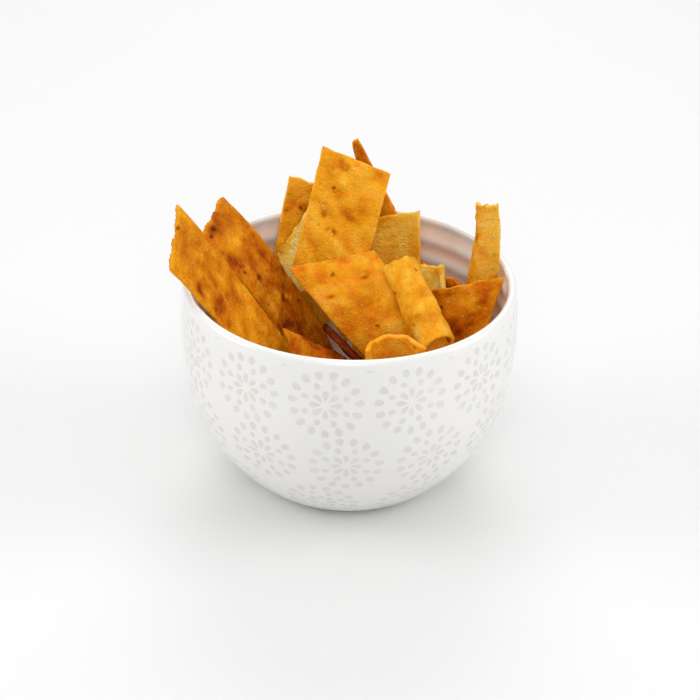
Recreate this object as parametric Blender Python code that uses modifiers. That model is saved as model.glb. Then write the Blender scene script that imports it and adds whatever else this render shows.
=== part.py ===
"""A stoneware bowl filled with fafda, the flat fried strips of gram flour.

Metres, +Z up. The origin is the middle of the bowl's foot, on the table.
The bowl is a turned shape. Each strip is a thin wavy plate, given by where its
foot and its head are and which way its face looks.
"""

import math

import bmesh
import bpy
from mathutils import Vector

MM = 0.001

# The bowl.
HEIGHT = 88 * MM
RIM_RADIUS = 65 * MM            # outside, at the lip
BELLY_RADIUS = 66 * MM          # widest, outside
BELLY_HEIGHT = 66 * MM
BASE_RADIUS = 33.5 * MM         # where the wall ends, just above the table
BASE_HEIGHT = 1.2 * MM
FOOT_RADIUS = 30.5 * MM         # the ring that it stands on
FOOT_RECESS = 2 * MM
FOOT_RING_WIDTH = 4 * MM
LIP_RADIUS = 1.8 * MM           # half the lip's thickness
CUP_RADIUS = 62 * MM            # widest, inside
CUP_FLOOR = 7 * MM              # height of the inner bottom
RIB_PITCH = 9 * MM              # the throwing rings inside
RIB_DEPTH = 0.8 * MM
RIB_START = 24 * MM
BOWL_STEPS = 48

# The strips.
THICKNESS = 2.2 * MM
CELL_WIDTH = 3.7 * MM
CELL_LENGTH = 5.2 * MM
WAVE_HEIGHT = 0.25 * MM
BLISTER_HEIGHT = 0.5 * MM
BLISTER_RADIUS = 5 * MM
TEAR_DEPTH = 1.2 * MM
SPIKE_WIDTH = 2.5 * MM
SPIKE_SLOPE = 5 * MM            # how far from its tip a spike widens

GOLDEN = "golden_crust"
DARK = "dark_crust"
PALE = "pale_crust"
GLAZE = "white_glaze"

COLOURS = {
    GLAZE: (0.80, 0.79, 0.76, 0.16),
    GOLDEN: (0.70, 0.29, 0.035, 0.50),
    DARK: (0.46, 0.14, 0.012, 0.45),
    PALE: (0.80, 0.46, 0.08, 0.50),
}

# Name, crust, head and foot (millimetres, middle of each end), the compass bearing its
# face looks along (degrees from +X towards +Y), then what departs from a flat plate:
# width, bow (towards the face), curl of the long edges towards the face in degrees at
# the head and at the foot, twist, slant of each end, narrowing of the head, tilt of the
# bearing, and a spike left by a torn head.
STRIPS = (
    ("strip_left_front", GOLDEN, (-67.4, -12.3, 110.9), (-7.2, -14.2, 19.2), -12,
     {"slant": 10.1, "bow": 3}),
    ("strip_left_back", DARK, (-55.9, 24, 101.9), (-2.6, 21.2, 13.7), -17,
     {"width": 27, "bow": 5.2, "slant": 2.6}),
    ("strip_back_left", GOLDEN, (-12.3, 57.4, 101.2), (-24.8, 41.8, 32.4), -80,
     {"slant": -2.6}),
    ("strip_tall", GOLDEN, (1.7, 43.9, 118.6), (-12.2, 19.8, 64.2), -96,
     {"slant": -3.9, "foot_slant": -24.4}),
    ("strip_centre", GOLDEN, (-8.2, 15.7, 87.9), (44.1, -13.4, 40.2), -80,
     {"width": 30, "twist": -37, "slant": -17.4, "bow": 6.1}),
    ("strip_rolled", PALE, (19.1, 9.2, 92.1), (34.8, -24.8, 76.4), -74,
     {"curl": -120, "bearing_tilt": 45, "width": 25, "foot_curl": -240, "head_width": 0.6}),
    ("strip_back_right", PALE, (13.6, 43.3, 94.1), (15.8, 33.3, 29.4), -100, {"slant": 6}),
    ("strip_folded", PALE, (31.1, 28.8, 79.3), (33.9, 15.7, 52.8), -129,
     {"width": 24, "curl": 70, "slant": -0.7}),
    ("strip_short", DARK, (36.9, 26.2, 77.6), (41.7, 14.4, 50.8), -135,
     {"width": 20, "slant": -9.6}),
    ("strip_right_front", DARK, (46, 6.3, 83.4), (30, -0.3, 20.3), -116,
     {"width": 27, "slant": 17.7}),
    ("strip_right_upright", GOLDEN, (51.1, 9.7, 115.9), (46.8, 13.7, 53), -132,
     {"width": 17, "head_width": 0.65, "curl": -110, "foot_curl": -60, "slant": 4, "bow": -4.6}),
    ("strip_spiked", DARK, (-8.2, 53.1, 118), (35, 38.3, 38.6), -102,
     {"width": 24, "spike": 15, "slant": 0.9}),
    ("strip_low_left", DARK, (-13.5, -17.7, 68.9), (-1.7, -30.8, 35.6), -39,
     {"width": 27, "slant": -20.6}),
    ("strip_front_curl", DARK, (15.5, -41, 86.5), (11.8, -26.8, 18), -74,
     {"curl": 150, "slant": -2.5}),
    ("strip_yellow", PALE, (-23.6, 46.6, 84.6), (-17.6, 34, 62.8), -113,
     {"width": 20, "curl": 20, "slant": 15.9}),
    ("strip_floor_right", DARK, (25.5, 25.5, 23), (2, -21.5, 13.5), -55,
     {"bearing_tilt": 81, "width": 24}),
    ("strip_floor_left", GOLDEN, (-52, 4.5, 54), (-8.5, 4.5, 12.5), 156,
     {"bearing_tilt": 70, "width": 26, "slant": -7}),
    ("strip_low_front", DARK, (-41, -26.5, 60.5), (-19, -11, 11), -129,
     {"bearing_tilt": 82, "width": 25, "slant": -7}),
    ("strip_low_middle", GOLDEN, (1.4, 25.6, 34.6), (12.9, -24.3, 26), 71,
     {"bearing_tilt": 46, "width": 24, "slant": 7}),
    ("strip_low_centre", DARK, (1.9, -21, 64.7), (-0.7, 21, 43.1), 36,
     {"bearing_tilt": 33, "width": 28}),
)

PLAIN_STRIP = {
    "width": 29,
    "bow": 0,
    "curl": 0,
    "foot_curl": None,
    "twist": 0,
    "slant": 0,
    "foot_slant": 0,
    "head_width": 1,
    "bearing_tilt": 0,
    "spike": 0,
}


def clear_scene():
    for item in list(bpy.data.objects):
        bpy.data.objects.remove(item, do_unlink=True)


def make_collection(name):
    collection = bpy.data.collections.new(name)
    bpy.context.scene.collection.children.link(collection)
    return collection


def make_material(name):
    red, green, blue, roughness = COLOURS[name]
    material = bpy.data.materials.new(name)
    material.use_nodes = True
    shader = material.node_tree.nodes["Principled BSDF"]
    shader.inputs["Base Color"].default_value = (red, green, blue, 1)
    shader.inputs["Roughness"].default_value = roughness
    shader.inputs["Metallic"].default_value = 0
    return material


def add_object(name, mesh, material, collection):
    part = bpy.data.objects.new(name, mesh)
    mesh.materials.append(material)
    collection.objects.link(part)
    return part


def outer_radius(z):
    """The bowl's outside: it swells from the foot, and draws in a little above the belly."""
    if z > BELLY_HEIGHT:
        rise = (z - BELLY_HEIGHT) / (HEIGHT - BELLY_HEIGHT)
        return BELLY_RADIUS - (BELLY_RADIUS - RIM_RADIUS) * rise ** 2
    rise = max(0, (z - BASE_HEIGHT) / (BELLY_HEIGHT - BASE_HEIGHT))
    return BASE_RADIUS + (BELLY_RADIUS - BASE_RADIUS) * (1 - (1 - rise) ** 2.3) ** 0.8


def inner_radius(z):
    """The inside, without its rings."""
    neck = RIM_RADIUS - 2 * LIP_RADIUS
    if z > BELLY_HEIGHT:
        rise = (z - BELLY_HEIGHT) / (HEIGHT - BELLY_HEIGHT)
        return CUP_RADIUS - (CUP_RADIUS - neck) * rise
    rise = max(0, (z - CUP_FLOOR) / (BELLY_HEIGHT - CUP_FLOOR))
    return CUP_RADIUS * (1 - (1 - rise) ** 2.3) ** 0.31


def ring_depth(z):
    """How far the throwing rings cut into the inner wall at a height."""
    turns = (z - RIB_START) / RIB_PITCH
    return RIB_DEPTH * 0.5 * (1 - math.cos(2 * math.pi * turns))


def bowl_profile():
    """Half section: inner floor, inner wall, lip, outer wall, foot, underside."""
    points = [(0, CUP_FLOOR)]
    for share in (0.012, 0.04, 0.09, 0.16, 0.25, 0.6, 1):
        z = CUP_FLOOR + share * (RIB_START - CUP_FLOOR)
        points.append((inner_radius(z), z))
    lip_base = HEIGHT - LIP_RADIUS
    rows = int((lip_base - RIB_START) / RIB_PITCH * 4)
    for row in range(1, rows + 1):
        z = RIB_START + row * RIB_PITCH / 4
        points.append((inner_radius(z) + ring_depth(z), z))
    for step in range(1, 6):
        angle = math.pi * (1 - step / 6)
        r = RIM_RADIUS - LIP_RADIUS + LIP_RADIUS * math.cos(angle)
        points.append((r, lip_base + LIP_RADIUS * math.sin(angle)))
    for share in (1, 0.86, 0.72, 0.58, 0.45, 0.33, 0.22, 0.13, 0.06, 0.02):
        z = BASE_HEIGHT + share * (lip_base - BASE_HEIGHT)
        points.append((outer_radius(z), z))
    ring_inside = FOOT_RADIUS - FOOT_RING_WIDTH
    points.append((BASE_RADIUS, BASE_HEIGHT))
    points.append((FOOT_RADIUS, BASE_HEIGHT))
    points.append((FOOT_RADIUS - 0.2 * MM, 0.3 * MM))
    points.append((FOOT_RADIUS - 0.7 * MM, 0))
    points.append((ring_inside + 0.7 * MM, 0))
    points.append((ring_inside, FOOT_RECESS))
    points.append((0, FOOT_RECESS))
    return points


def make_bowl(collection, material):
    outline = bmesh.new()
    corners = [outline.verts.new((r, 0, z)) for r, z in bowl_profile()]
    for upper, lower in zip(corners, corners[1:]):
        outline.edges.new((upper, lower))
    mesh = bpy.data.meshes.new("bowl")
    outline.to_mesh(mesh)
    outline.free()
    bowl = add_object("bowl", mesh, material, collection)
    turn = bowl.modifiers.new("turn", "SCREW")
    turn.axis = "Z"
    turn.angle = 2 * math.pi
    turn.steps = BOWL_STEPS
    turn.render_steps = BOWL_STEPS
    turn.use_merge_vertices = True
    turn.merge_threshold = 0.0001
    turn.use_smooth_shade = True


def fraction(value):
    return value - math.floor(value)


def blister_centres(order, area):
    """Blisters spread evenly over a strip, in a different place on each strip."""
    count = max(3, round(area / (14 * MM) ** 2))
    for number in range(1, count + 1):
        across = fraction(0.7549 * number + 0.37 * order) - 0.5
        along = fraction(0.5698 * number + 0.61 * order)
        size = 0.7 + 0.6 * fraction(0.43 * number + 0.29 * order)
        side = 1 if (number + order) % 3 else -1
        yield across, along, size, side


def relief(order, width, length, across, along):
    """Height of the fried surface over the smooth plate: slow waves and a few blisters."""
    waves = math.sin(9 * along + 2.1 * order) + math.sin(5 * across + 13 * along + order)
    height = WAVE_HEIGHT * waves
    for centre_across, centre_along, size, side in blister_centres(order, width * length):
        gap = math.hypot((across - centre_across) * width, (along - centre_along) * length)
        radius = BLISTER_RADIUS * size
        height += side * BLISTER_HEIGHT * math.exp(-(gap / radius) ** 2 * 2)
    return height


def torn_edge(order, across):
    """How much of a broken end is missing, across the strip."""
    jags = math.sin(11 * across + 1.7 * order) + math.sin(23 * across + 2.9 * order)
    return TEAR_DEPTH * 0.25 * (2 + jags)


def strip_axes(head, foot, bearing, tilt):
    """Unit vectors along the strip, across it, and out of its face."""
    along = (head - foot).normalized()
    look = Vector((
        math.cos(bearing) * math.cos(tilt),
        math.sin(bearing) * math.cos(tilt),
        math.sin(tilt),
    ))
    face = (look - look.dot(along) * along).normalized()
    return along, along.cross(face), face


def strip_point(order, head, foot, axes, form, across, along):
    """One point of the strip's middle surface, across -0.5 to 0.5 and along 0 to 1."""
    length = (head - foot).length
    up, side, face = axes
    narrowing = 1 - (1 - form["head_width"]) * along
    width = form["width"] * MM * narrowing
    foot_curl = form["curl"] if form["foot_curl"] is None else form["foot_curl"]
    curl = math.radians(form["curl"] * along + foot_curl * (1 - along))
    height = relief(order, width, length, across, along)
    if abs(curl) < 0.01:
        x = width * across
        z = height
    else:
        radius = width / curl
        x = (radius - height) * math.sin(across * curl)
        z = radius - (radius - height) * math.cos(across * curl)
    twist = math.radians(form["twist"]) * (along - 0.5)
    turned_x = x * math.cos(twist) - z * math.sin(twist)
    turned_z = x * math.sin(twist) + z * math.cos(twist)
    bow = form["bow"] * MM * (1 - (2 * along - 1) ** 2)
    ends = form["slant"] * MM * across * along + form["foot_slant"] * MM * across * (1 - along)
    missing = torn_edge(order, across) * max(0, 6 * along - 5)
    from_edge = (0.5 - across) * width
    drop = min(max((from_edge - SPIKE_WIDTH) / SPIKE_SLOPE, 0), 1)
    spike = form["spike"] * MM * drop * drop * (3 - 2 * drop)
    y = along * length + ends - missing - spike * along ** 3
    return foot + up * y + side * turned_x + face * (turned_z + bow)


def make_strip(collection, material, order, name, head, foot, bearing, changes):
    form = {**PLAIN_STRIP, **changes}
    head = Vector(head) * MM
    foot = Vector(foot) * MM
    axes = strip_axes(head, foot, math.radians(bearing), math.radians(form["bearing_tilt"]))
    columns = round(form["width"] * MM / CELL_WIDTH)
    rows = round((head - foot).length / CELL_LENGTH)
    sheet = bmesh.new()
    bmesh.ops.create_grid(sheet, x_segments=columns, y_segments=rows, size=0.5)
    for corner in sheet.verts:
        across = corner.co.x
        along = corner.co.y + 0.5
        corner.co = strip_point(order, head, foot, axes, form, across, along)
    mesh = bpy.data.meshes.new(name)
    sheet.to_mesh(mesh)
    sheet.free()
    mesh.shade_smooth()
    strip = add_object(name, mesh, material, collection)
    body = strip.modifiers.new("thickness", "SOLIDIFY")
    body.thickness = THICKNESS
    body.offset = 0
    body.use_even_offset = True


def main():
    clear_scene()
    collection = make_collection("bowl_of_fafda")
    materials = {name: make_material(name) for name in COLOURS}
    make_bowl(collection, materials[GLAZE])
    for order, (name, crust, head, foot, bearing, changes) in enumerate(STRIPS):
        make_strip(collection, materials[crust], order, name, head, foot, bearing, changes)


main()
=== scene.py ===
"""Looks for a stoneware bowl of fafda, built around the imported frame.

Metres, +Z up. The bowl is turned on a wheel, glazed and marked with rings of
petals. Each strip is a thin slab of fried dough with its own lumps, blisters
and browning.
"""

import math
import random

import bmesh
import bpy
import numpy as np
from mathutils import Matrix, Vector, noise


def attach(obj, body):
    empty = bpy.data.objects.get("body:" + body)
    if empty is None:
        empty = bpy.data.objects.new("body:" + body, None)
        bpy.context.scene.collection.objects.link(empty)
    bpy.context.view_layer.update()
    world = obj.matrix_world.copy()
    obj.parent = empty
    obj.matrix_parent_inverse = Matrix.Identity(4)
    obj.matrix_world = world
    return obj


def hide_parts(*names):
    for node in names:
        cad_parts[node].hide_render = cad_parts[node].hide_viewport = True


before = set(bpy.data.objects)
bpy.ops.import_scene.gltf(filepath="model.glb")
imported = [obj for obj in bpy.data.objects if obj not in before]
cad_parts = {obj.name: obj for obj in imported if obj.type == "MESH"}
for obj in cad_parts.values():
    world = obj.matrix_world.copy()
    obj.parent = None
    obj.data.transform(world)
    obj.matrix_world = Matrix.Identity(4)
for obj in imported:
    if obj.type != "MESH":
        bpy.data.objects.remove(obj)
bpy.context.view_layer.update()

MM = 0.001

# The bowl.
HEIGHT = 88 * MM
RIM_RADIUS = 65 * MM            # outside, at the lip
BELLY_RADIUS = 66 * MM          # widest, outside
BELLY_HEIGHT = 66 * MM
BASE_RADIUS = 33.5 * MM         # where the wall ends, just above the table
BASE_HEIGHT = 1.2 * MM
FOOT_RADIUS = 30.5 * MM         # the ring that it stands on
FOOT_RECESS = 2 * MM
FOOT_RING_WIDTH = 4 * MM
LIP_RADIUS = 1.8 * MM
CUP_RADIUS = 62 * MM            # widest, inside
CUP_FLOOR = 7 * MM
RIB_PITCH = 9 * MM              # the throwing rings inside
RIB_DEPTH = 0.8 * MM
RIB_START = 24 * MM
SWEEP = 2.3                     # how soon the wall turns up from the foot
OUTER_FULLNESS = 0.8            # lower is fuller near the foot
INNER_FULLNESS = 0.31
BOWL_STEPS = 160                # round the bowl
FLOOR_POINTS = 20               # points of the half section, by stretch
RIB_POINTS = 12                 # to each ring
LIP_POINTS = 12
WALL_POINTS = 50
FLOOR_CROWDING = 2.6            # above 1, the points crowd towards the lower end
WALL_CROWDING = 1.6

# The glaze.
WHITE_GLAZE = (228, 227, 224)
PETAL_GREY = (211, 208, 201)
CUP_GLAZE = (255, 253, 250)
CUP_GROOVE = (250, 216, 186)
RINGS_END = (80 * MM, 84 * MM)          # where the tint of the rings fades out
CUP_END = (83.5 * MM, 86.5 * MM)        # where the cup's glaze fades into the white
PATTERN_TOP = 6 * MM                    # bare band under the lip
ROW_PITCH = 28 * MM
TOP_ROW_RINGS = 13                      # petal rings round the bowl, in the top row
FEWER_RINGS = (1, 3, 3)                 # how many fewer in each row than in the one above
PETAL_RINGS = (                         # radius, petals, half width, half length, turn
    (3.9 * MM, 8, 1.0 * MM, 2.1 * MM, 0.0),
    (8.2 * MM, 8, 1.1 * MM, 1.4 * MM, 0.5),
    (12.4 * MM, 15, 1.4 * MM, 1.8 * MM, 0.25),
)
GLAZE_RELIEF = 0.15 * MM

# The crust.
DRIFT_SIZE = 9 * MM             # sizes of the clouds that vary it, from slow to fine
PATCH_SIZE = 6 * MM
MOTTLE_SIZE = 4.2 * MM
GLINT_SIZE = 1.1 * MM
GRAIN_SIZE = 0.8 * MM
PIT_SPACING = 6.5 * MM
# colour of the painted glints, small pale spots that stand in for highlights
PAINTED_GLINT_COLOUR = (255, 206, 92)
CRUST_SHEEN = 0.07
CRUST_RELIEF = 1.4 * MM

# The strips.
THICKNESS = 2.0 * MM
CELL = 0.7 * MM                 # spacing of the slab's points
EDGE_ROUNDING = 0.8 * MM
EDGE_CALM = 1.5 * MM            # the fine relief grows to its full height over this
WAVE_HEIGHT = 0.25 * MM
BLISTER_SPACING = 14 * MM
BLISTER_HEIGHT = 0.5 * MM
BLISTER_RADIUS = 5 * MM
BUBBLE_SPACING = 9 * MM         # bubbles are the smaller ones, thrown by chance
TEAR_DEPTH = 1.2 * MM
TOOTH_PITCH = 2.3 * MM
NICK_WIDTH = 1.2 * MM
SPIKE_WIDTH = 2.5 * MM
SPIKE_SLOPE = 5 * MM            # how far from its tip a spike widens


# Finishes.

def tint(red, green, blue):
    """A paint colour given as it looks on a screen, turned to the shader's own scale."""
    parts = []
    for part in (red, green, blue):
        share = part / 255
        parts.append(share / 12.92 if share <= 0.04045 else ((share + 0.055) / 1.055) ** 2.4)
    return (*parts, 1)


class Level:
    """What varies over a surface: a node's output, which takes part in sums."""

    def __init__(self, finish, socket):
        self.finish = finish
        self.socket = socket

    def math(self, operation, *values):
        inputs = dict(enumerate((self, *values)))
        return self.finish.add("ShaderNodeMath", {"operation": operation}, inputs)

    def __add__(self, other):
        return self.math("ADD", other)

    def __radd__(self, other):
        return self.math("ADD", other)

    def __sub__(self, other):
        return self.math("SUBTRACT", other)

    def __rsub__(self, other):
        return (self * -1).math("ADD", other)

    def __mul__(self, other):
        return self.math("MULTIPLY", other)

    def __rmul__(self, other):
        return self.math("MULTIPLY", other)

    def __truediv__(self, other):
        return self.math("DIVIDE", other)

    def between(self, low, high):
        """0 at low, 1 at high, and smooth between them."""
        return self.finish.add(
            "ShaderNodeMapRange",
            {"interpolation_type": "SMOOTHSTEP"},
            {"Value": self, "From Min": low, "From Max": high},
        )


class Finish:
    """A material, and the nodes that vary it."""

    def __init__(self, name, **constants):
        self.material = bpy.data.materials.new(name)
        self.material.use_nodes = True
        self.tree = self.material.node_tree
        self.shader = self.tree.nodes["Principled BSDF"]
        for socket, value in constants.items():
            self.shader.inputs[socket.replace("_", " ")].default_value = value

    def add(self, kind, settings=None, inputs=None, output=0):
        """Any node: its type, its settings, what its sockets hold, and the output to use."""
        node = self.tree.nodes.new(kind)
        for key, value in (settings or {}).items():
            if key == "stops":
                self.set_stops(node.color_ramp, value)
            else:
                setattr(node, key, value)
        for key, value in (inputs or {}).items():
            self.feed(node.inputs[key], value)
        return Level(self, node.outputs[output])

    def feed(self, socket, value):
        if isinstance(value, Level):
            self.tree.links.new(value.socket, socket)
        else:
            socket.default_value = value

    def set_stops(self, ramp, stops):
        while len(ramp.elements) < len(stops):
            ramp.elements.new(0.5)
        for element, (position, colour) in zip(ramp.elements, stops):
            element.position = position
            element.color = colour

    def place(self):
        """Where a point of the surface lies in its object."""
        return self.add("ShaderNodeTexCoord", output="Object")

    def axes(self, place):
        """X, Y and Z of a place, each on its own."""
        split = self.add("ShaderNodeSeparateXYZ", None, {"Vector": place}).socket.node
        return [Level(self, output) for output in split.outputs]

    def shifted(self, place, far):
        """The same place, moved, so that one cloud doesn't follow another."""
        inputs = {0: place, 1: (far, -far, 2 * far)}
        return self.add("ShaderNodeVectorMath", {"operation": "ADD"}, inputs)

    def attribute(self, name):
        return self.add("ShaderNodeAttribute", {"attribute_name": name}, output="Fac")

    def clouds(self, place, size, detail=3.0, roughness=0.55):
        """Noise around 0, with lumps of about that size in metres."""
        inputs = {"Vector": place, "Scale": 1 / size, "Detail": detail, "Roughness": roughness}
        return self.add("ShaderNodeTexNoise", None, inputs) - 0.5

    def mix(self, share, first, second):
        """The first colour at a share of 0, the second at 1."""
        inputs = {0: share, 6: first, 7: second}    # the colour sockets of a Mix node
        return self.add("ShaderNodeMix", {"data_type": "RGBA"}, inputs, 2)

    def colour(self, value):
        self.feed(self.shader.inputs["Base Color"], value)

    def roughness(self, value):
        self.feed(self.shader.inputs["Roughness"], value)

    def bump(self, height, distance):
        inputs = {"Height": height, "Distance": distance, "Strength": 1.0}
        self.feed(self.shader.inputs["Normal"], self.add("ShaderNodeBump", None, inputs))


# Colours of the crust, from barely fried to burnt.
GOLDEN_BROWNING = (
    (0.00, tint(255, 214, 104)),
    (0.16, tint(255, 194, 66)),
    (0.32, tint(252, 178, 40)),
    (0.48, tint(240, 160, 20)),
    (0.64, tint(218, 132, 6)),
    (0.80, tint(188, 98, 0)),
    (0.92, tint(146, 62, 0)),
    (1.00, tint(104, 36, 0)),
)

ORANGE_BROWNING = (
    (0.00, tint(255, 200, 100)),
    (0.16, tint(255, 178, 60)),
    (0.32, tint(252, 158, 36)),
    (0.48, tint(240, 140, 18)),
    (0.64, tint(216, 114, 4)),
    (0.80, tint(182, 80, 0)),
    (0.92, tint(138, 50, 0)),
    (1.00, tint(94, 28, 0)),
)

PALE_BROWNING = (
    (0.00, tint(255, 226, 132)),
    (0.20, tint(255, 212, 90)),
    (0.40, tint(252, 192, 60)),
    (0.55, tint(244, 172, 32)),
    (0.75, tint(226, 142, 2)),
    (1.00, tint(160, 76, 0)),
)


def crust_finish(name, yellower, redder):
    """Fried gram flour: gold and orange patches, painted glints (small pale spots standing in
    for highlights), dark pits, a thin oily sheen.
    """
    crust = Finish(name, Specular_IOR_Level=CRUST_SHEEN)
    place = crust.place()
    toast = crust.attribute("toast")
    drift = crust.clouds(place, DRIFT_SIZE, 4)
    mottle = crust.clouds(place, MOTTLE_SIZE, 4, 0.62)
    grain = crust.clouds(place, GRAIN_SIZE, 3, 0.6)

    # Pits: the middles of scattered cells, in about half of the cells.
    cells = {"Vector": place, "Scale": 1 / PIT_SPACING, "Randomness": 1.0}
    gap = crust.add("ShaderNodeTexVoronoi", None, cells, "Distance")
    lot = crust.add("ShaderNodeTexVoronoi", None, cells, "Color")
    chosen = crust.add("ShaderNodeSeparateColor", None, {"Color": lot}, "Red")
    pit = (1 - (gap + grain * 0.35).between(0.05, 0.17)) * chosen.between(0.45, 0.55)

    # The same browning read in two ranges of colour, which take turns in patches.
    browned = toast + drift * 0.24 + mottle * 0.34 + grain * 0.16 + pit * 0.3
    gold = crust.add("ShaderNodeValToRGB", {"stops": yellower}, {"Fac": browned})
    rust = crust.add("ShaderNodeValToRGB", {"stops": redder}, {"Fac": browned})
    patches = crust.clouds(crust.shifted(place, 0.3), PATCH_SIZE, 3) + crust.attribute("rust")
    skin = crust.mix(patches.between(-0.10, 0.12), gold, rust)

    # Painted glints: small pale spots standing in for highlights, which fade where the skin is
    # dark. They also raise the surface a little.
    speckle = crust.clouds(crust.shifted(place, 0.7), GLINT_SIZE, 2)
    painted_glint = (speckle + mottle * -0.5).between(0.11, 0.21)
    pale = painted_glint * (1 - toast.between(0.45, 0.95)) * 0.7
    crust.colour(crust.mix(pale, skin, tint(*PAINTED_GLINT_COLOUR)))
    crust.roughness(0.5 + mottle * 0.3 + drift * 0.15)
    crust.bump(mottle * 0.7 + grain * 0.6 + painted_glint * 0.2 - pit * 0.3, CRUST_RELIEF)
    return crust.material


def petal(crosswise, lengthwise, half_width, half_length):
    """1 inside a small oval petal, 0 outside."""
    across = crosswise / half_width
    along = lengthwise / half_length
    return 1 - (across * across + along * along).between(0.75, 1.25)


def petal_rings(glaze, x, y, hand):
    """1 on the petals and 0 between them, in rows down the outer wall."""
    run = glaze.attribute("wall_run")
    turn = y.math("ARCTAN2", x) * (1 / (2 * math.pi))
    radius = (x * x + y * y).math("SQRT")
    row = ((run - PATTERN_TOP) / ROW_PITCH).math("FLOOR")
    count = TOP_ROW_RINGS
    for above, fewer in enumerate(FEWER_RINGS):
        count = count - row.between(above + 0.5, above + 0.6) * fewer

    # Where a point lies in its own ring: sideways and down from the middle, then as a
    # reach and a bearing.
    step = turn * count + row * 0.5
    crosswise = (step - step.math("FLOOR") - 0.5) * (2 * math.pi) * radius / count
    downwards = run - PATTERN_TOP - (row + 0.5) * ROW_PITCH
    reach = (crosswise * crosswise + downwards * downwards).math("SQRT")
    bearing = downwards.math("ARCTAN2", crosswise) * (1 / (2 * math.pi))
    marks = 0
    for ring_radius, petals, half_width, half_length, shift in PETAL_RINGS:
        share = bearing * petals + (shift + 0.5)
        sideways = (share - share.math("FLOOR") - 0.5) * (2 * math.pi * ring_radius / petals)
        outward = reach - ring_radius + hand * (1.2 * MM)
        mark = petal(sideways + hand * (0.8 * MM), outward, half_width, half_length)
        marks = mark.math("MAXIMUM", marks)
    return marks * run.between(PATTERN_TOP - 1 * MM, PATTERN_TOP)


def glaze_finish():
    """Gloss white outside with rings of warm grey petals, pink taupe inside."""
    glaze = Finish("bowl_glaze", Specular_IOR_Level=0.5)
    place = glaze.place()
    x, y, z = glaze.axes(place)
    inside = glaze.attribute("inside")
    hand = glaze.clouds(place, 5 * MM, 1)       # the unsteadiness of a hand
    cloudy = glaze.clouds(place, 16 * MM, 3)
    marks = petal_rings(glaze, x, y, hand) * (1 - inside)
    white = glaze.mix(marks * (0.75 + cloudy), tint(*WHITE_GLAZE), tint(*PETAL_GREY))

    turns = (z - RIB_START) * (2 * math.pi / RIB_PITCH) + hand * 0.5
    groove = 0.5 - turns.math("COSINE") * 0.5
    deep = groove * z.between(RIB_START, RIB_START + RIB_PITCH) * (1 - z.between(*RINGS_END))
    cup = glaze.mix(deep * 0.8 + cloudy * 0.3, tint(*CUP_GLAZE), tint(*CUP_GROOVE))
    cup_share = inside * (1 - z.between(*CUP_END))
    glaze.colour(glaze.mix(cup_share, white, cup))
    glaze.roughness(0.16 + cup_share * 0.14 + marks * 0.06)
    glaze.bump(marks * -0.4 + cloudy * 0.2, GLAZE_RELIEF)
    return glaze.material


def floor_finish():
    cloth = Finish("studio_floor", Roughness=0.8)
    cloth.colour(tint(*FLOOR_COLOUR))
    return cloth.material


# The bowl.

def outer_radius(z):
    if z > BELLY_HEIGHT:
        rise = (z - BELLY_HEIGHT) / (HEIGHT - BELLY_HEIGHT)
        return BELLY_RADIUS - (BELLY_RADIUS - RIM_RADIUS) * rise ** 2
    rise = max(0, (z - BASE_HEIGHT) / (BELLY_HEIGHT - BASE_HEIGHT))
    full = (1 - (1 - rise) ** SWEEP) ** OUTER_FULLNESS
    return BASE_RADIUS + (BELLY_RADIUS - BASE_RADIUS) * full


def inner_radius(z):
    """The inside, without its rings."""
    neck = RIM_RADIUS - 2 * LIP_RADIUS
    if z > BELLY_HEIGHT:
        rise = (z - BELLY_HEIGHT) / (HEIGHT - BELLY_HEIGHT)
        return CUP_RADIUS - (CUP_RADIUS - neck) * rise
    rise = max(0, (z - CUP_FLOOR) / (BELLY_HEIGHT - CUP_FLOOR))
    return CUP_RADIUS * (1 - (1 - rise) ** SWEEP) ** INNER_FULLNESS


def ring_depth(z):
    """How far the throwing rings cut into the inner wall at a height."""
    turns = (z - RIB_START) / RIB_PITCH
    return RIB_DEPTH * 0.5 * (1 - math.cos(2 * math.pi * turns))


def foot_section():
    """The foot ring and its recess, from the end of the wall to the middle."""
    ring_inside = FOOT_RADIUS - FOOT_RING_WIDTH
    return (
        (BASE_RADIUS, BASE_HEIGHT + 0.1 * MM),
        (BASE_RADIUS - 0.5 * MM, BASE_HEIGHT),
        (FOOT_RADIUS, BASE_HEIGHT),
        (FOOT_RADIUS - 0.1 * MM, 0.5 * MM),
        (FOOT_RADIUS - 0.3 * MM, 0.2 * MM),
        (FOOT_RADIUS - 0.8 * MM, 0),
        (ring_inside + 0.8 * MM, 0),
        (ring_inside + 0.3 * MM, 0.3 * MM),
        (ring_inside, FOOT_RECESS),
        (0, FOOT_RECESS),
    )


def bowl_profile():
    """Half section as (radius, height, 1 inside or 0 outside), from the cup's middle."""
    points = [(0, CUP_FLOOR, 1)]
    for step in range(1, FLOOR_POINTS + 1):
        share = (step / FLOOR_POINTS) ** FLOOR_CROWDING
        z = CUP_FLOOR + share * (RIB_START - CUP_FLOOR)
        points.append((inner_radius(z), z, 1))
    lip_base = HEIGHT - LIP_RADIUS
    rows = int((lip_base - RIB_START) / RIB_PITCH * RIB_POINTS)
    for row in range(1, rows + 1):
        z = RIB_START + row * RIB_PITCH / RIB_POINTS
        points.append((inner_radius(z) + ring_depth(z), z, 1))
    for step in range(1, LIP_POINTS):
        angle = math.pi * (1 - step / LIP_POINTS)
        r = RIM_RADIUS - LIP_RADIUS + LIP_RADIUS * math.cos(angle)
        inside = 1 if step < LIP_POINTS / 2 - 1 else 0
        points.append((r, lip_base + LIP_RADIUS * math.sin(angle), inside))
    for step in range(WALL_POINTS):
        share = (1 - step / WALL_POINTS) ** WALL_CROWDING
        z = BASE_HEIGHT + share * (lip_base - BASE_HEIGHT)
        points.append((outer_radius(z), z, 0))
    return points + [(radius, z, 0) for radius, z in foot_section()]


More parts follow.
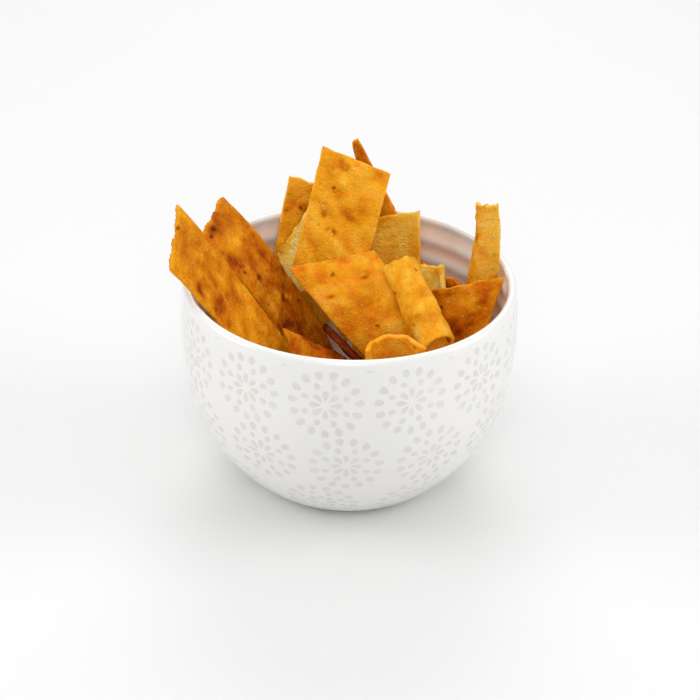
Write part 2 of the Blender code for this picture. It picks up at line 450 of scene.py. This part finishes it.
def add_piece(name, mesh, material, node):
    piece = bpy.data.objects.new(name, mesh)
    bpy.context.scene.collection.objects.link(piece)
    mesh.materials.append(material)
    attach(piece, "root")
    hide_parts(node)
    return piece


def throw_bowl(material):
    """The bowl, with the run down its outer wall and its inside marked for the glaze."""
    clay = bmesh.new()
    run_layer = clay.verts.layers.float.new("wall_run")
    inside_layer = clay.verts.layers.float.new("inside")
    corners = []
    run = 0
    last = None
    for radius, height, inside in bowl_profile():
        corner = clay.verts.new((radius, 0, height))
        if not inside and last is not None:
            run += math.dist(last, (radius, height))
        last = (radius, height)
        corner[run_layer] = run
        corner[inside_layer] = inside
        corners.append(corner)
    for upper, lower in zip(corners, corners[1:]):
        clay.edges.new((upper, lower))
    bmesh.ops.spin(
        clay,
        geom=clay.verts[:] + clay.edges[:],
        cent=(0, 0, 0),
        axis=(0, 0, 1),
        dvec=(0, 0, 0),
        angle=2 * math.pi,
        steps=BOWL_STEPS,
        use_merge=True,
    )
    bmesh.ops.remove_doubles(clay, verts=clay.verts[:], dist=0.01 * MM)
    bmesh.ops.recalc_face_normals(clay, faces=clay.faces[:])
    mesh = bpy.data.meshes.new("bowl_glazed")
    clay.to_mesh(mesh)
    clay.free()
    mesh.shade_smooth()
    return add_piece("bowl_glazed", mesh, material, "bowl")


# The strips. Name, crust, how browned, head and foot (millimetres, middle of each end),
# the bearing that the face looks along (degrees from +X towards +Y), then what departs
# from PLAIN_STRIP.
STRIPS = (
    ("strip_left_front", "golden", 0.67, (-67.4, -12.3, 110.9), (-7.2, -14.2, 19.2), -12,
     {"slant": 10.1, "serration": 0.8, "bow": 3, "rust": -0.22}),
    ("strip_left_back", "dark", 0.73, (-55.9, 24, 101.9), (-2.6, 21.2, 13.7), -17,
     {"width": 27, "bow": 5.2, "slant": 2.6, "serration": 0.6, "rust": -0.06}),
    ("strip_back_left", "golden", 0.37, (-12.3, 57.4, 101.2), (-24.8, 41.8, 32.4), -80,
     {"slant": -2.6, "rust": -0.1}),
    ("strip_tall", "golden", 0.42, (1.7, 43.9, 118.6), (-12.2, 19.8, 64.2), -96,
     {"slant": -3.9, "foot_slant": -24.4, "tear": 0.3, "rust": -0.08}),
    ("strip_centre", "golden", 0.50, (-8.2, 15.7, 87.9), (44.1, -13.4, 40.2), -80,
     {"width": 30, "twist": -37, "slant": -17.4, "bow": 6.1, "tear": 0.4}),
    ("strip_rolled", "pale", 0.44, (19.1, 9.2, 92.1), (34.8, -24.8, 76.4), -74,
     {"curl": -120, "foot_curl": -240, "bearing_tilt": 45, "width": 25, "head_width": 0.6,
      "inside": 0.2, "rust": 0.08}),
    ("strip_back_right", "pale", 0.31, (13.6, 43.3, 94.1), (15.8, 33.3, 29.4), -100,
     {"slant": 6, "tear": 0.4, "rust": 0.1}),
    ("strip_folded", "pale", 0.29, (31.1, 28.8, 79.3), (33.9, 15.7, 52.8), -129,
     {"width": 24, "curl": 70, "slant": -0.7}),
    ("strip_short", "dark", 0.70, (36.9, 26.2, 77.6), (41.7, 14.4, 50.8), -135,
     {"width": 20, "slant": -9.6}),
    ("strip_right_front", "dark", 0.66, (46, 6.3, 83.4), (30, -0.3, 20.3), -116,
     {"width": 27, "slant": 17.7}),
    ("strip_right_upright", "golden", 0.22, (51.1, 9.7, 115.9), (46.8, 13.7, 53), -132,
     {"curl": -110, "foot_curl": -60, "width": 17, "head_width": 0.65, "slant": 4,
      "bow": -4.6, "rust": -0.1}),
    ("strip_spiked", "dark", 0.64, (-8.2, 53.1, 118), (35, 38.3, 38.6), -102,
     {"width": 24, "spike": 15, "slant": 0.9}),
    ("strip_low_left", "dark", 0.79, (-13.5, -17.7, 68.9), (-1.7, -30.8, 35.6), -39,
     {"width": 27, "slant": -20.6}),
    ("strip_front_curl", "dark", 0.42, (15.5, -41, 86.5), (11.8, -26.8, 18), -74,
     {"curl": 150, "slant": -2.5}),
    ("strip_yellow", "pale", 0.03, (-23.6, 46.6, 84.6), (-17.6, 34, 62.8), -113,
     {"width": 20, "curl": 20, "slant": 15.9}),
    ("strip_floor_right", "dark", 0.62, (25.5, 25.5, 23), (2, -21.5, 13.5), -55,
     {"bearing_tilt": 81, "width": 24}),
    ("strip_floor_left", "golden", 0.50, (-52, 4.5, 54), (-8.5, 4.5, 12.5), 156,
     {"bearing_tilt": 70, "width": 26, "slant": -7}),
    ("strip_low_front", "dark", 0.62, (-41, -26.5, 60.5), (-19, -11, 11), -129,
     {"bearing_tilt": 82, "width": 25, "slant": -7}),
    ("strip_low_middle", "golden", 0.48, (1.4, 25.6, 34.6), (12.9, -24.3, 26), 71,
     {"bearing_tilt": 46, "width": 24, "slant": 7}),
    # Browned past the end of the ramp to the darkest brown: painted shade, a dark piece that
    # stands for the deep shadow in the gap beside the centre strip.
    ("strip_low_centre", "dark", 1.20, (1.9, -21, 64.7), (-0.7, 21, 43.1), 36,
     {"bearing_tilt": 33, "width": 28}),
)

PLAIN_STRIP = {                 # millimetres, unless said otherwise
    "width": 29,
    "bow": 0,                   # towards the face, at half length
    "curl": 0,                  # degrees that the long edges turn towards the face
    "foot_curl": None,          # the same at the foot, where it differs
    "twist": 0,                 # degrees, from foot to head
    "slant": 0,                 # how much further one edge reaches at the head
    "foot_slant": 0,
    "head_width": 1,            # as a share of the width
    "bearing_tilt": 0,          # degrees that the bearing is raised
    "spike": 0,                 # how far a torn head's point stands out
    "tear": 1,                  # how ragged the head is
    "serration": 0.1,           # height of the teeth along the head
    "inside": 0,                # browning added on the side away from the face
    "rust": 0,                  # above 0 more orange, below 0 more yellow
}

# Lumps, hollows and burnt spots of single strips, and on two strips bands of painted shade:
# across (-0.5 to 0.5), along (0 at the foot), half size across and along in mm, height in mm,
# change of browning.
MARKS = {
    "strip_left_front": (
        (-0.15, 0.83, 1.4, 1.2, -0.3, 0.12),
        (-0.40, 0.83, 1.6, 1.4, -0.2, 0.12),
        (-0.25, 0.76, 6, 6, -0.3, 0.05),
        (-0.26, 0.72, 3, 1.2, -0.3, 0.06),
        (0.10, 0.50, 7, 9, 0.4, -0.16),
        (0.25, 0.76, 4, 5, 0.4, -0.12),
    ),
    "strip_left_back": (
        (-0.07, 0.86, 5.0, 5.6, 0.9, -0.34),
        (-0.36, 0.84, 3.5, 5, -0.5, 0.20),
        (0.30, 0.82, 3.5, 6, -0.3, 0.14),
        (0.02, 0.70, 4.5, 3.5, 0.5, -0.22),
        (-0.15, 0.70, 1.6, 1.3, -0.4, 0.35),
        (0.04, 0.56, 3.2, 2.6, -0.5, 0.32),
        (0.12, 0.55, 1.1, 0.9, 0.4, -0.5),
        (-0.35, 0.58, 4, 4, 0.5, -0.22),
        (-0.35, 0.48, 6, 2.2, -0.3, 0.16),
        (-0.20, 0.97, 2.0, 1.5, -0.3, 0.32),
        (0.22, 0.95, 5, 3, 0.2, -0.08),
    ),
    "strip_tall": (
        (-0.13, 0.91, 3.2, 1.6, -0.4, 0.28),
        (-0.29, 0.94, 4, 3, 0.2, 0.10),
        (-0.27, 0.76, 4, 4, -0.2, 0.14),
        (0.04, 0.76, 5, 4, 0.5, -0.14),
        # These three make a slanting dark band: painted shadow, over a real shallow groove.
        (-0.20, 0.57, 4.5, 1.8, -0.4, 0.14),
        (0.05, 0.63, 4.5, 1.8, -0.4, 0.18),
        (0.28, 0.70, 4.5, 2.2, -0.5, 0.24),
        (-0.26, 0.53, 1.6, 1.2, -0.3, 0.45),
        (-0.06, 0.48, 1.2, 1.2, -0.3, 0.45),
        (-0.24, 0.42, 6, 3, 0.3, -0.10),
        (0.17, 0.55, 6, 3, 0.3, -0.10),
        (0.31, 0.88, 5, 4, 0.3, -0.06),
    ),
    "strip_centre": (
        (-0.29, 0.84, 2.6, 2, 0.3, -0.14),
        (-0.30, 0.79, 1.6, 0.9, -0.4, 0.45),
        (0.20, 0.84, 1.8, 0.8, -0.4, 0.45),
        (-0.24, 0.73, 3.4, 3.4, 0.6, -0.20),
        (0.29, 0.69, 3.4, 3.4, 0.6, -0.20),
        (0.05, 0.53, 4, 3.6, 0.5, -0.18),
        (0.05, 0.68, 4, 4, -0.3, 0.08),
        (0.36, 0.60, 3, 4, -0.4, 0.14),
    ),
    "strip_right_front": (
        (-0.02, 0.86, 3.4, 3.0, 0.6, -0.18),
        (-0.15, 0.94, 2.4, 0.9, -0.4, 0.20),
        (0.29, 0.85, 2.6, 1.0, -0.4, 0.16),
        (0.25, 0.70, 8, 5, -0.2, 0.10),
    ),
    "strip_back_left": (
        (-0.22, 0.83, 3, 3, -0.5, 0.35),
        (-0.28, 0.66, 3.5, 3.5, -0.4, 0.25),
        (-0.35, 0.93, 4, 4, 0.3, -0.12),
    ),
    "strip_rolled": (
        (-0.12, 0.57, 1.8, 1.5, -0.3, 0.30),
        (-0.12, 0.57, 0.8, 0.8, 0.2, -0.40),
    ),
    "strip_right_upright": (
        # Darker all along the left edge, where the strip curls away: painted shade on its side
        # face.
        (-0.36, 0.50, 3.0, 60, 0.0, 0.25),
    ),
}


def fraction(value):
    return value - math.floor(value)


def cloud(points, size, seed):
    """Smooth noise from -1 to 1 at each point, with lumps of about that size."""
    shift = Vector((seed * 3.7, seed * 1.9, seed * 5.3))
    return np.array([noise.noise(Vector(p) / size + shift) for p in points])


def strip_lines(length, step):
    """Distances from one edge to the other, closer together at the two edges."""
    near = [0, 0.12 * MM, 0.35 * MM, 0.7 * MM]
    plain = length - 2 * near[-1]
    inner = max(2, round(plain / step))
    middle = [near[-1] + plain * number / inner for number in range(1, inner)]
    far = [length - gap for gap in reversed(near)]
    return np.array(near + middle + far)


class Strip:
    """One strip: where it stands, how it is formed, and the points that span it."""

    def __init__(self, order, name, head, foot, bearing, changes):
        self.order = order
        self.name = name
        self.head = Vector(head) * MM
        self.foot = Vector(foot) * MM
        self.bearing = bearing
        self.form = {**PLAIN_STRIP, **changes}
        self.width = self.form["width"] * MM
        self.length = (self.head - self.foot).length
        self.columns = strip_lines(self.width, CELL)
        self.rows = strip_lines(self.length, CELL * 1.1)
        self.u, self.v = np.meshgrid(self.columns - self.width / 2, self.rows)
        self.across = self.u / self.width       # -0.5 to 0.5
        self.along = self.v / self.length       # 0 at the foot, 1 at the head

    def axes(self):
        """Unit vectors along the strip, across it, and out of its face."""
        bearing = math.radians(self.bearing)
        tilt = math.radians(self.form["bearing_tilt"])
        along = (self.head - self.foot).normalized()
        look = Vector((
            math.cos(bearing) * math.cos(tilt),
            math.sin(bearing) * math.cos(tilt),
            math.sin(tilt),
        ))
        face = (look - look.dot(along) * along).normalized()
        return [np.array(axis) for axis in (along, along.cross(face), face)]

    def slow_relief(self):
        """The waves and large blisters that the part's solids have too."""
        order, across, along = self.order, self.across, self.along
        waves = np.sin(9 * along + 2.1 * order) + np.sin(5 * across + 13 * along + order)
        height = WAVE_HEIGHT * waves
        count = max(3, round(self.width * self.length / BLISTER_SPACING ** 2))
        for number in range(1, count + 1):
            centre_across = fraction(0.7549 * number + 0.37 * order) - 0.5
            centre_along = fraction(0.5698 * number + 0.61 * order)
            size = 0.7 + 0.6 * fraction(0.43 * number + 0.29 * order)
            side = 1 if (number + order) % 3 else -1
            gap = np.hypot(
                (across - centre_across) * self.width,
                (along - centre_along) * self.length,
            )
            dome = np.exp(-(gap / (BLISTER_RADIUS * size)) ** 2 * 2)
            height += side * BLISTER_HEIGHT * dome
        return height

    def bubbles(self, side, lumps, bumps):
        """Small domes thrown by chance on one side, each with its height and browning."""
        dice = random.Random(100 * self.order + side)
        for _ in range(round(self.width * self.length / BUBBLE_SPACING ** 2)):
            centre_u = dice.uniform(-0.5, 0.5) * self.width
            centre_v = dice.random() * self.length
            radius = dice.uniform(1.2, 3.4) * MM
            height = dice.uniform(0.10, 0.38)
            shade = dice.choice((-0.14, -0.10, -0.06, 0.08))
            gap = np.hypot(self.u - centre_u, self.v - centre_v) / radius
            gap = gap * (1 + 0.5 * bumps + 0.35 * lumps)
            yield np.clip(1 - gap ** 2, 0, 1) ** 1.3, height, shade

    def marks(self, lumps, bumps):
        """The strip's own MARKS, soft at their edges."""
        for across, along, half_u, half_v, height, shade in MARKS.get(self.name, ()):
            gap = np.hypot(
                (self.across - across) * self.width / (half_u * MM),
                (self.along - along) * self.length / (half_v * MM),
            )
            yield np.exp(-(gap * (1 + 0.35 * bumps + 0.25 * lumps)) ** 2), height, shade

    def fried_surface(self, side):
        """Fine relief in metres and change of browning, on side 1 (the face) or 0."""
        points = np.stack([self.u.ravel(), self.v.ravel(), np.zeros(self.u.size)], -1)
        seed = self.order + 40 * side
        lumps, bumps, speckle, drift = (
            cloud(points, size, own_seed).reshape(self.u.shape)
            for size, own_seed in (
                (6 * MM, seed),
                (2.2 * MM, seed + 7),
                (1.1 * MM, seed + 11),
                (14 * MM, self.order + 3),
            )
        )
        fine = 0.40 * lumps + 0.28 * bumps + 0.13 * speckle
        toast = 0.20 * drift - 0.18 * lumps - 0.07 * bumps - 0.05 * speckle
        domes = list(self.bubbles(side, lumps, bumps))
        if side:
            domes += self.marks(lumps, bumps)
        for dome, height, shade in domes:
            fine += height * dome
            toast += shade * dome
        return fine * MM, toast

    def edge_wobble(self, side):
        """How far a long edge strays outwards, along its length."""
        zeros = np.zeros(self.rows.shape)
        points = np.stack([self.rows, zeros + 0.01 * side, zeros], -1)
        slow = 0.25 * cloud(points, 7 * MM, self.order + 90)
        quick = 0.18 * cloud(points, 2 * MM, self.order)
        return ((slow + quick) * MM)[:, None]

    def torn_head(self, across, width):
        """How much of the head's end is missing at each place across it."""
        order = self.order
        jags = np.sin(11 * across + 1.7 * order) + np.sin(23 * across + 2.9 * order)
        teeth = np.abs((across * width / TOOTH_PITCH + 0.3 * order) % 1 - 0.5) * 2
        nick = np.exp(-((across * width - 5 * MM * math.sin(order)) / NICK_WIDTH) ** 2)
        ragged = TEAR_DEPTH * 0.25 * (2 + self.form["tear"] * jags)
        return ragged + self.form["serration"] * MM * (teeth + 1.2 * nick)

    def places(self, lift):
        """Where the points of one side go, by how far they lie off the middle sheet."""
        form, along = self.form, self.along
        left = self.edge_wobble(0) * np.clip(-2 * self.across, 0, 1) ** 5
        right = self.edge_wobble(1) * np.clip(2 * self.across, 0, 1) ** 5
        across = self.across + (right - left) / self.width

        width = self.width * (1 - (1 - form["head_width"]) * along)
        foot_curl = form["curl"] if form["foot_curl"] is None else form["foot_curl"]
        curl = np.radians(form["curl"] * along + foot_curl * (1 - along))
        flat = np.abs(curl) < 0.01
        radius = width / np.where(flat, 1, curl)
        x = np.where(flat, width * across, (radius - lift) * np.sin(across * curl))
        z = np.where(flat, lift, radius - (radius - lift) * np.cos(across * curl))
        twist = math.radians(form["twist"]) * (along - 0.5)
        turned_x = x * np.cos(twist) - z * np.sin(twist)
        turned_z = x * np.sin(twist) + z * np.cos(twist)
        bow = form["bow"] * MM * (1 - (2 * along - 1) ** 2)

        slant = form["slant"] * MM * across * along
        foot_slant = form["foot_slant"] * MM * across * (1 - along)
        missing = self.torn_head(across, width) * np.clip(6 * along - 5, 0, 1)
        from_edge = (0.5 - across) * width
        drop = np.clip((from_edge - SPIKE_WIDTH) / SPIKE_SLOPE, 0, 1)
        spike = form["spike"] * MM * drop * drop * (3 - 2 * drop)
        y = along * self.length + (slant + foot_slant) - missing - spike * along ** 3
        up, sideways, face = self.axes()
        sheet = np.array(self.foot) + y[..., None] * up + turned_x[..., None] * sideways
        return sheet + (turned_z + bow)[..., None] * face

    def surfaces(self, base_toast):
        """Places and browning of the side away from the face, then of the face, with the
        browning paler near the edges as a painted highlight.
        """
        to_edge = np.minimum(
            np.minimum(self.u + self.width / 2, self.width / 2 - self.u),
            np.minimum(self.v, self.length - self.v),
        )
        corner = np.clip(1 - to_edge / EDGE_ROUNDING, 0, 1)
        half = THICKNESS / 2 * (0.3 + 0.7 * np.sqrt(1 - corner ** 2))
        calm = np.clip(to_edge / EDGE_CALM, 0.25, 1)
        slow = self.slow_relief()
        for side, outwards, extra in ((0, -1, self.form["inside"]), (1, 1, 0)):
            fine, toast = self.fried_surface(side)
            lift = slow + (half + fine * calm) * outwards
            # Paler near every edge: a painted highlight along the strips' rims.
            yield self.places(lift), base_toast + extra + toast - 0.10 * corner


def fry_strip(strip, crust, base_toast, material):
    """A flat slab, each of whose points is then moved to its place on the strip."""
    columns = len(strip.columns) - 1
    rows = len(strip.rows) - 1
    dough = bmesh.new()
    toast_layer = dough.verts.layers.float.new("toast")
    rust_layer = dough.verts.layers.float.new("rust")
    bmesh.ops.create_grid(dough, x_segments=columns, y_segments=rows, size=0.5)
    sheet = bmesh.ops.extrude_face_region(dough, geom=dough.faces[:])
    upper = [part for part in sheet["geom"] if isinstance(part, bmesh.types.BMVert)]
    bmesh.ops.translate(dough, verts=upper, vec=(0, 0, 1))
    back, face = strip.surfaces(base_toast)
    for point in dough.verts:
        column = round((point.co.x + 0.5) * columns)
        row = round((point.co.y + 0.5) * rows)
        places, toast = face if point.co.z > 0.5 else back
        point.co = places[row, column]
        point[toast_layer] = toast[row, column]
        point[rust_layer] = strip.form["rust"]
    bmesh.ops.recalc_face_normals(dough, faces=dough.faces[:])
    piece_name = strip.name.replace("strip_", "fafda_")
    mesh = bpy.data.meshes.new(piece_name)
    dough.to_mesh(mesh)
    dough.free()
    mesh.shade_smooth()
    return add_piece(piece_name, mesh, material, strip.name)


# The studio.

FLOOR_COLOUR = (225, 225, 225)
FLOOR_REACH = 4
SKY_STRENGTH = 0.44
LAMPS = (                       # name, place, height that it aims at, size, power
    ("overhead", (0, -0.1, 1.2), 0.05, 1.5, 4.4),
    ("front", (0, -1.2, 0.95), 0.08, 0.8, 6.5),
    ("left", (-1.2, -0.1, 0.6), 0.05, 0.9, 6.4),
    ("right", (1.2, -0.1, 0.6), 0.05, 0.9, 6.7),
    ("back", (0, 1.1, 0.9), 0.05, 0.9, 6.2),
)
LENS = 90.36                    # millimetres, on a sensor 36 mm wide
SENSOR_WIDTH = 36
CAMERA_AIM = (0.0005, 0, 0.055)
CAMERA_DISTANCE = 0.70
CAMERA_TILT = 30.6              # degrees that it looks down
CAMERA_ROLL = 1.25


def lay_floor():
    ground = bmesh.new()
    bmesh.ops.create_grid(ground, x_segments=1, y_segments=1, size=FLOOR_REACH)
    mesh = bpy.data.meshes.new("floor")
    ground.to_mesh(mesh)
    ground.free()
    floor = bpy.data.objects.new("floor", mesh)
    bpy.context.scene.collection.objects.link(floor)
    mesh.materials.append(floor_finish())


def soft_light(name, place, aim, size, power):
    lamp = bpy.data.lights.new(name, "AREA")
    lamp.shape = "DISK"
    lamp.size = size
    lamp.energy = power
    light = bpy.data.objects.new(name, lamp)
    bpy.context.scene.collection.objects.link(light)
    light.location = place
    light.rotation_euler = (Vector(aim) - Vector(place)).to_track_quat("-Z", "Y").to_euler()


def light_studio():
    world = bpy.data.worlds.new("studio")
    world.use_nodes = True
    sky = world.node_tree.nodes["Background"]
    sky.inputs["Color"].default_value = (1, 1, 1, 1)
    sky.inputs["Strength"].default_value = SKY_STRENGTH
    bpy.context.scene.world = world
    for name, place, height, size, power in LAMPS:
        soft_light(name, place, (0, 0, height), size, power)
    bpy.context.scene.view_settings.view_transform = "Standard"


def set_camera():
    lens = bpy.data.cameras.new("camera")
    lens.lens = LENS
    lens.sensor_width = SENSOR_WIDTH
    camera = bpy.data.objects.new("camera", lens)
    bpy.context.scene.collection.objects.link(camera)
    aim = Vector(CAMERA_AIM)
    tilt = math.radians(CAMERA_TILT)
    place = aim + Vector((0, -math.cos(tilt), math.sin(tilt))) * CAMERA_DISTANCE
    turned = (aim - place).to_track_quat("-Z", "Y").to_matrix().to_4x4()
    roll = Matrix.Rotation(math.radians(CAMERA_ROLL), 4, "Z")
    camera.matrix_world = Matrix.Translation(place) @ turned @ roll
    bpy.context.scene.camera = camera


crusts = {
    "golden": crust_finish("golden_fried_crust", GOLDEN_BROWNING, ORANGE_BROWNING),
    "dark": crust_finish("dark_fried_crust", GOLDEN_BROWNING, ORANGE_BROWNING),
    "pale": crust_finish("pale_fried_crust", PALE_BROWNING, GOLDEN_BROWNING),
}
throw_bowl(glaze_finish())
for order, (name, crust, toast, head, foot, bearing, changes) in enumerate(STRIPS):
    strip = Strip(order, name, head, foot, bearing, changes)
    fry_strip(strip, crust, toast, crusts[crust])
lay_floor()
light_studio()
set_camera()
